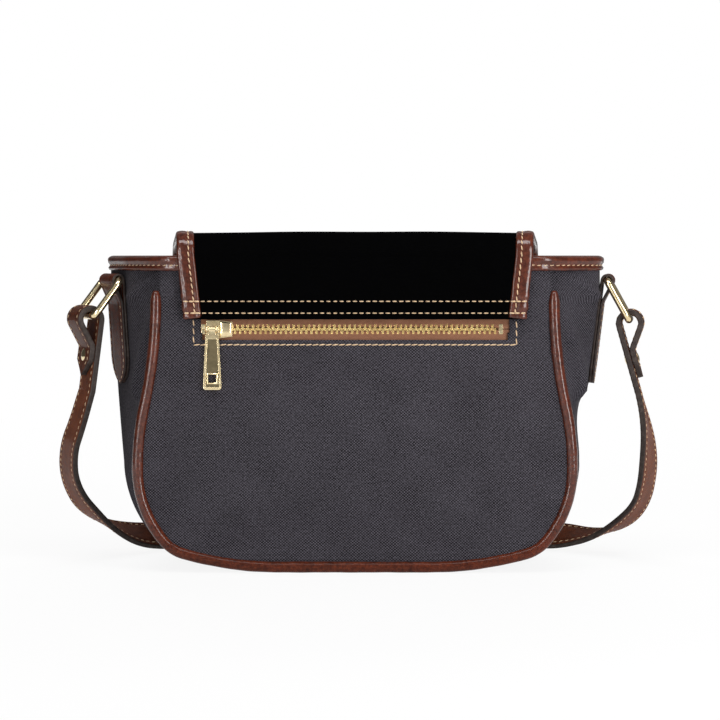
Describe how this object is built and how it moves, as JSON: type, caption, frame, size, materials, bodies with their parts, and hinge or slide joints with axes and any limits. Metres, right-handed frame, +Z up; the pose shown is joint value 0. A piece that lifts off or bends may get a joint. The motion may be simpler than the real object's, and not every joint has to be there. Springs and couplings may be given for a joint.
{
  "type": "saddle handbag",
  "caption": "Saddle-shaped handbag with a rounded flap over a cloth body, leather piping, a zip pocket in its back and a leather strap on rings.",
  "frame": {"origin": "middle of the base, on the surface that the bag stands on", "axes": "+X along the bag's width, +Y from the zip pocket's side to the flap's front, +Z up"},
  "size_m": [0.367, 0.112, 0.1985],
  "materials": {
    "charcoal_cloth": "fine woven cloth, matte",
    "black_cloth": "dense matte cloth",
    "lining_cloth": "thin lining cloth",
    "brown_leather": "glossy, lightly crackled",
    "strap_leather": "satin, two layers with dark edges",
    "zip_tape": "woven tape",
    "zip_metal": "polished",
    "gold_metal": "pale, polished",
    "snap_steel": "plated"
  },
  "bodies": {
    "bag": {"back_panel": "charcoal_cloth", "front_panel": "charcoal_cloth", "gusset": "charcoal_cloth", "lining": "lining_cloth", "back_piping": "brown_leather", "front_piping": "brown_leather", "mouth_binding": "brown_leather", "zip_tape_upper": "zip_tape", "zip_tape_lower": "zip_tape", "zip_teeth_upper": "zip_metal", "zip_teeth_lower": "zip_metal", "zip_top_stop_upper": "zip_metal", "zip_top_stop_lower": "zip_metal", "zip_bottom_stop": "zip_metal", "pocket_pouch": "lining_cloth", "flap_anchor": "black_cloth", "anchor_binding_left": "brown_leather", "anchor_binding_right": "brown_leather", "snap_cup": "snap_steel", "snap_magnet": "snap_steel", "left_tab": "brown_leather", "right_tab": "brown_leather"},
    "flap": {"flap_panel": "black_cloth", "flap_lining": "lining_cloth", "flap_binding": "brown_leather", "snap_stud": "snap_steel"},
    "zip_slider": {"zip_slider": "zip_metal", "zip_pin": "zip_metal"},
    "zip_pull": {"zip_pull": "zip_metal"},
    "left_ring": {"left_ring": "gold_metal"},
    "right_ring": {"right_ring": "gold_metal"},
    "strap": {"strap": "strap_leather", "left_rivet": "gold_metal", "right_rivet": "gold_metal"}
  },
  "joints": [
    {"name": "flap_fold", "type": "hinge", "parent": "bag", "child": "flap", "pos_m": [0, -0.0442, 0.1841], "axis": [1, 0, 0], "range_deg": [0, 130]},
    {"name": "zip_slide", "type": "slide", "parent": "bag", "child": "zip_slider", "axis": [1, 0, 0], "range_m": [0, 0.151], "deforming": ["zip_teeth_upper", "zip_teeth_lower"]},
    {"name": "zip_pull_swing", "type": "hinge", "parent": "zip_slider", "child": "zip_pull", "pos_m": [-0.0825, -0.0418, 0.1418], "axis": [-1, 0, 0], "range_deg": [0, 120]},
    {"name": "left_ring_swing", "type": "hinge", "parent": "bag", "child": "left_ring", "pos_m": [-0.14519, -0.00181, 0.16975], "axis": [-0.454, 0.891, 0], "range_deg": [-6, 6]},
    {"name": "strap_pivot", "type": "hinge", "parent": "left_ring", "child": "strap", "pos_m": [-0.15967, -0.00919, 0.14895], "axis": [-0.454, 0.891, 0], "range_deg": [-5.5, 5.5]},
    {"name": "right_ring_swing", "type": "hinge", "parent": "bag", "child": "right_ring", "pos_m": [0.15101, -0.00062, 0.16953], "axis": [0.1564, 0.9877, 0], "range_deg": [-4.5, 4.5]}
  ],
  "couplings": [
    {"joint": "strap_pivot", "follows": "left_ring_swing", "ratio": -0.91},
    {"joint": "right_ring_swing", "follows": "left_ring_swing", "ratio": 0.74}
  ]
}
